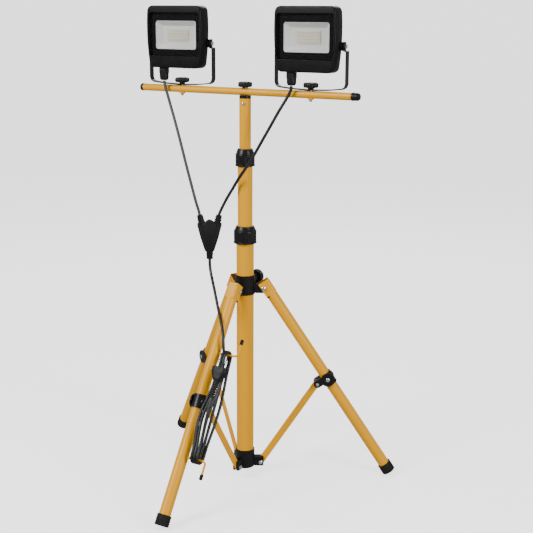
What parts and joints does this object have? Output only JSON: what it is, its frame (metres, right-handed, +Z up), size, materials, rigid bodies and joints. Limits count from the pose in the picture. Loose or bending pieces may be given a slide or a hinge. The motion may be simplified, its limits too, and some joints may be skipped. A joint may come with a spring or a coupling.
{
  "type": "work light",
  "caption": "Twin LED work light on a telescopic folding tripod, with tilting lamps on a crossbar and its mains cord wound on the front leg.",
  "frame": {"origin": "on the mast's axis, at the underside of the lower hub; the floor is 20 mm below it", "axes": "+Z up the mast, +X along the crossbar to the right lamp, -Y the way the lamps face"},
  "size_m": [0.5948, 0.5194, 1.0395],
  "materials": {
    "yellow_enamel": "glossy powder coat on steel tube",
    "black_nylon": "black nylon, satin",
    "black_abs": "black plastic, fine texture",
    "zinc": "bright zinc plate",
    "strap_paint": "black painted steel strip, satin",
    "lamp_black": "black powder coat on die-cast aluminium",
    "lamp_glass": "toughened glass with a black printed border",
    "reflector_white": "white reflector",
    "led_white": "white circuit board with LEDs",
    "foot_rubber": "black rubber, matt",
    "cord_rubber": "black cord jacket",
    "plug_black": "black moulded rubber"
  },
  "bodies": {
    "mast_base": {"lower_hub": "black_nylon", "mast_tube_lower": "yellow_enamel", "mast_bush_lower": "black_nylon", "brace_bolt_front": "zinc", "brace_bolt_right": "zinc", "brace_bolt_rear": "zinc"},
    "lock_collar_lower": {"lock_collar_lower": "black_nylon"},
    "mast_middle": {"mast_tube_middle": "yellow_enamel", "mast_bush_upper": "black_nylon"},
    "lock_collar_upper": {"lock_collar_upper": "black_nylon"},
    "mast_upper": {"mast_tube_upper": "yellow_enamel", "bar_seat": "black_nylon"},
    "crossbar": {"crossbar": "yellow_enamel", "crossbar_cap_left": "black_nylon", "crossbar_cap_right": "black_nylon", "splitter": "plug_black", "lead_left": "cord_rubber", "lead_right": "cord_rubber", "main_cord": "cord_rubber"},
    "centre_knob": {"centre_knob": "black_abs"},
    "upper_hub": {"upper_hub": "black_nylon"},
    "hub_clamp_knob": {"hub_clamp_knob": "black_abs"},
    "strap_left": {"lamp_strap_left": "strap_paint"},
    "lamp_knob_left": {"lamp_knob_left": "black_abs"},
    "lamp_left": {"lamp_housing_left": "lamp_black", "lamp_glass_left": "lamp_glass", "lamp_reflector_left": "reflector_white", "lamp_led_board_left": "led_white", "lamp_gland_left": "black_abs", "lamp_pivot_bolt_left_a": "zinc", "lamp_pivot_bolt_left_b": "zinc"},
    "strap_right": {"lamp_strap_right": "strap_paint"},
    "lamp_knob_right": {"lamp_knob_right": "black_abs"},
    "lamp_right": {"lamp_housing_right": "lamp_black", "lamp_glass_right": "lamp_glass", "lamp_reflector_right": "reflector_white", "lamp_led_board_right": "led_white", "lamp_gland_right": "black_abs", "lamp_pivot_bolt_right_a": "zinc", "lamp_pivot_bolt_right_b": "zinc"},
    "leg_front": {"leg_tube_front": "yellow_enamel", "foot_cap_front": "foot_rubber", "leg_bracket_front": "black_nylon", "leg_pivot_bolt_front": "zinc", "cable_hook_upper": "yellow_enamel", "cable_hook_lower": "yellow_enamel", "cord_hank": "cord_rubber", "plug": "plug_black"},
    "brace_front": {"brace_front": "yellow_enamel"},
    "leg_right": {"leg_tube_right": "yellow_enamel", "foot_cap_right": "foot_rubber", "leg_bracket_right": "black_nylon", "leg_pivot_bolt_right": "zinc"},
    "brace_right": {"brace_right": "yellow_enamel"},
    "leg_rear": {"leg_tube_rear": "yellow_enamel", "foot_cap_rear": "foot_rubber", "leg_bracket_rear": "black_nylon", "leg_pivot_bolt_rear": "zinc"},
    "brace_rear": {"brace_rear": "yellow_enamel"}
  },
  "joints": [
    {"name": "hub_slide", "type": "slide", "parent": "mast_base", "child": "upper_hub", "axis": [0, 0, 1], "range_m": [0, 0.068]},
    {"name": "leg_front_fold", "type": "hinge", "parent": "upper_hub", "child": "leg_front", "pos_m": [0, -0.0406, 0.418], "axis": [1, 0, 0], "range_deg": [0, 25.8]},
    {"name": "brace_front_fold", "type": "hinge", "parent": "mast_base", "child": "brace_front", "pos_m": [0, -0.0353, 0.01], "axis": [-1, 0, 0], "range_deg": [0, 29]},
    {"name": "leg_right_fold", "type": "hinge", "parent": "upper_hub", "child": "leg_right", "pos_m": [0.03516, 0.0203, 0.418], "axis": [-0.5, 0.866, 0], "range_deg": [0, 25.8]},
    {"name": "brace_right_fold", "type": "hinge", "parent": "mast_base", "child": "brace_right", "pos_m": [0.03057, 0.01765, 0.01], "axis": [0.5, -0.866, 0], "range_deg": [0, 29]},
    {"name": "leg_rear_fold", "type": "hinge", "parent": "upper_hub", "child": "leg_rear", "pos_m": [-0.03516, 0.0203, 0.418], "axis": [-0.5, -0.866, 0], "range_deg": [0, 25.8]},
    {"name": "brace_rear_fold", "type": "hinge", "parent": "mast_base", "child": "brace_rear", "pos_m": [-0.03057, 0.01765, 0.01], "axis": [0.5, 0.866, 0], "range_deg": [0, 29]},
    {"name": "mast_middle_slide", "type": "slide", "parent": "mast_base", "child": "mast_middle", "axis": [0, 0, 1], "range_m": [-0.125, 0.24]},
    {"name": "mast_upper_slide", "type": "slide", "parent": "mast_middle", "child": "mast_upper", "axis": [0, 0, 1], "range_m": [-0.105, 0.28]},
    {"name": "lower_collar_twist", "type": "hinge", "parent": "mast_base", "child": "lock_collar_lower", "pos_m": [0, 0, 0.53], "axis": [0, 0, 1], "range_deg": [-60, 60]},
    {"name": "upper_collar_twist", "type": "hinge", "parent": "mast_middle", "child": "lock_collar_upper", "pos_m": [0, 0, 0.7], "axis": [0, 0, 1], "range_deg": [-60, 60]},
    {"name": "crossbar_swivel", "type": "hinge", "parent": "mast_upper", "child": "crossbar", "pos_m": [0, 0, 0.843], "axis": [0, 0, 1], "range_deg": [-90, 90], "deforming": ["main_cord"]},
    {"name": "centre_knob_turn", "type": "hinge", "parent": "crossbar", "child": "centre_knob", "pos_m": [0, 0, 0.855], "axis": [0, 0, 1], "continuous": true},
    {"name": "hub_knob_turn", "type": "hinge", "parent": "upper_hub", "child": "hub_clamp_knob", "pos_m": [0, 0.05, 0.433], "axis": [0, 1, 0], "continuous": true},
    {"name": "lamp_left_pan", "type": "hinge", "parent": "crossbar", "child": "strap_left", "pos_m": [-0.16, 0, 0.852], "axis": [0, 0, 1], "range_deg": [-60, 60]},
    {"name": "lamp_left_tilt", "type": "hinge", "parent": "strap_left", "child": "lamp_left", "pos_m": [-0.16, 0, 0.941], "axis": [1, 0, 0], "range_deg": [-60, 15], "deforming": ["lead_left"]},
    {"name": "lamp_left_knob_turn", "type": "hinge", "parent": "strap_left", "child": "lamp_knob_left", "pos_m": [-0.16, 0, 0.862], "axis": [0, 0, 1], "continuous": true},
    {"name": "lamp_right_pan", "type": "hinge", "parent": "crossbar", "child": "strap_right", "pos_m": [0.1565, 0, 0.852], "axis": [0, 0, 1], "range_deg": [-60, 60]},
    {"name": "lamp_right_tilt", "type": "hinge", "parent": "strap_right", "child": "lamp_right", "pos_m": [0.1565, 0, 0.941], "axis": [1, 0, 0], "range_deg": [-60, 15], "deforming": ["lead_right"]},
    {"name": "lamp_right_knob_turn", "type": "hinge", "parent": "strap_right", "child": "lamp_knob_right", "pos_m": [0.1565, 0, 0.862], "axis": [0, 0, 1], "continuous": true}
  ],
  "couplings": [
    {"joint": "leg_front_fold", "follows": "hub_slide", "rad_per_m": 6.6217},
    {"joint": "brace_front_fold", "follows": "hub_slide", "rad_per_m": 7.4429},
    {"joint": "leg_right_fold", "follows": "hub_slide", "rad_per_m": 6.6217},
    {"joint": "brace_right_fold", "follows": "hub_slide", "rad_per_m": 7.4429},
    {"joint": "leg_rear_fold", "follows": "hub_slide", "rad_per_m": 6.6217},
    {"joint": "brace_rear_fold", "follows": "hub_slide", "rad_per_m": 7.4429}
  ]
}
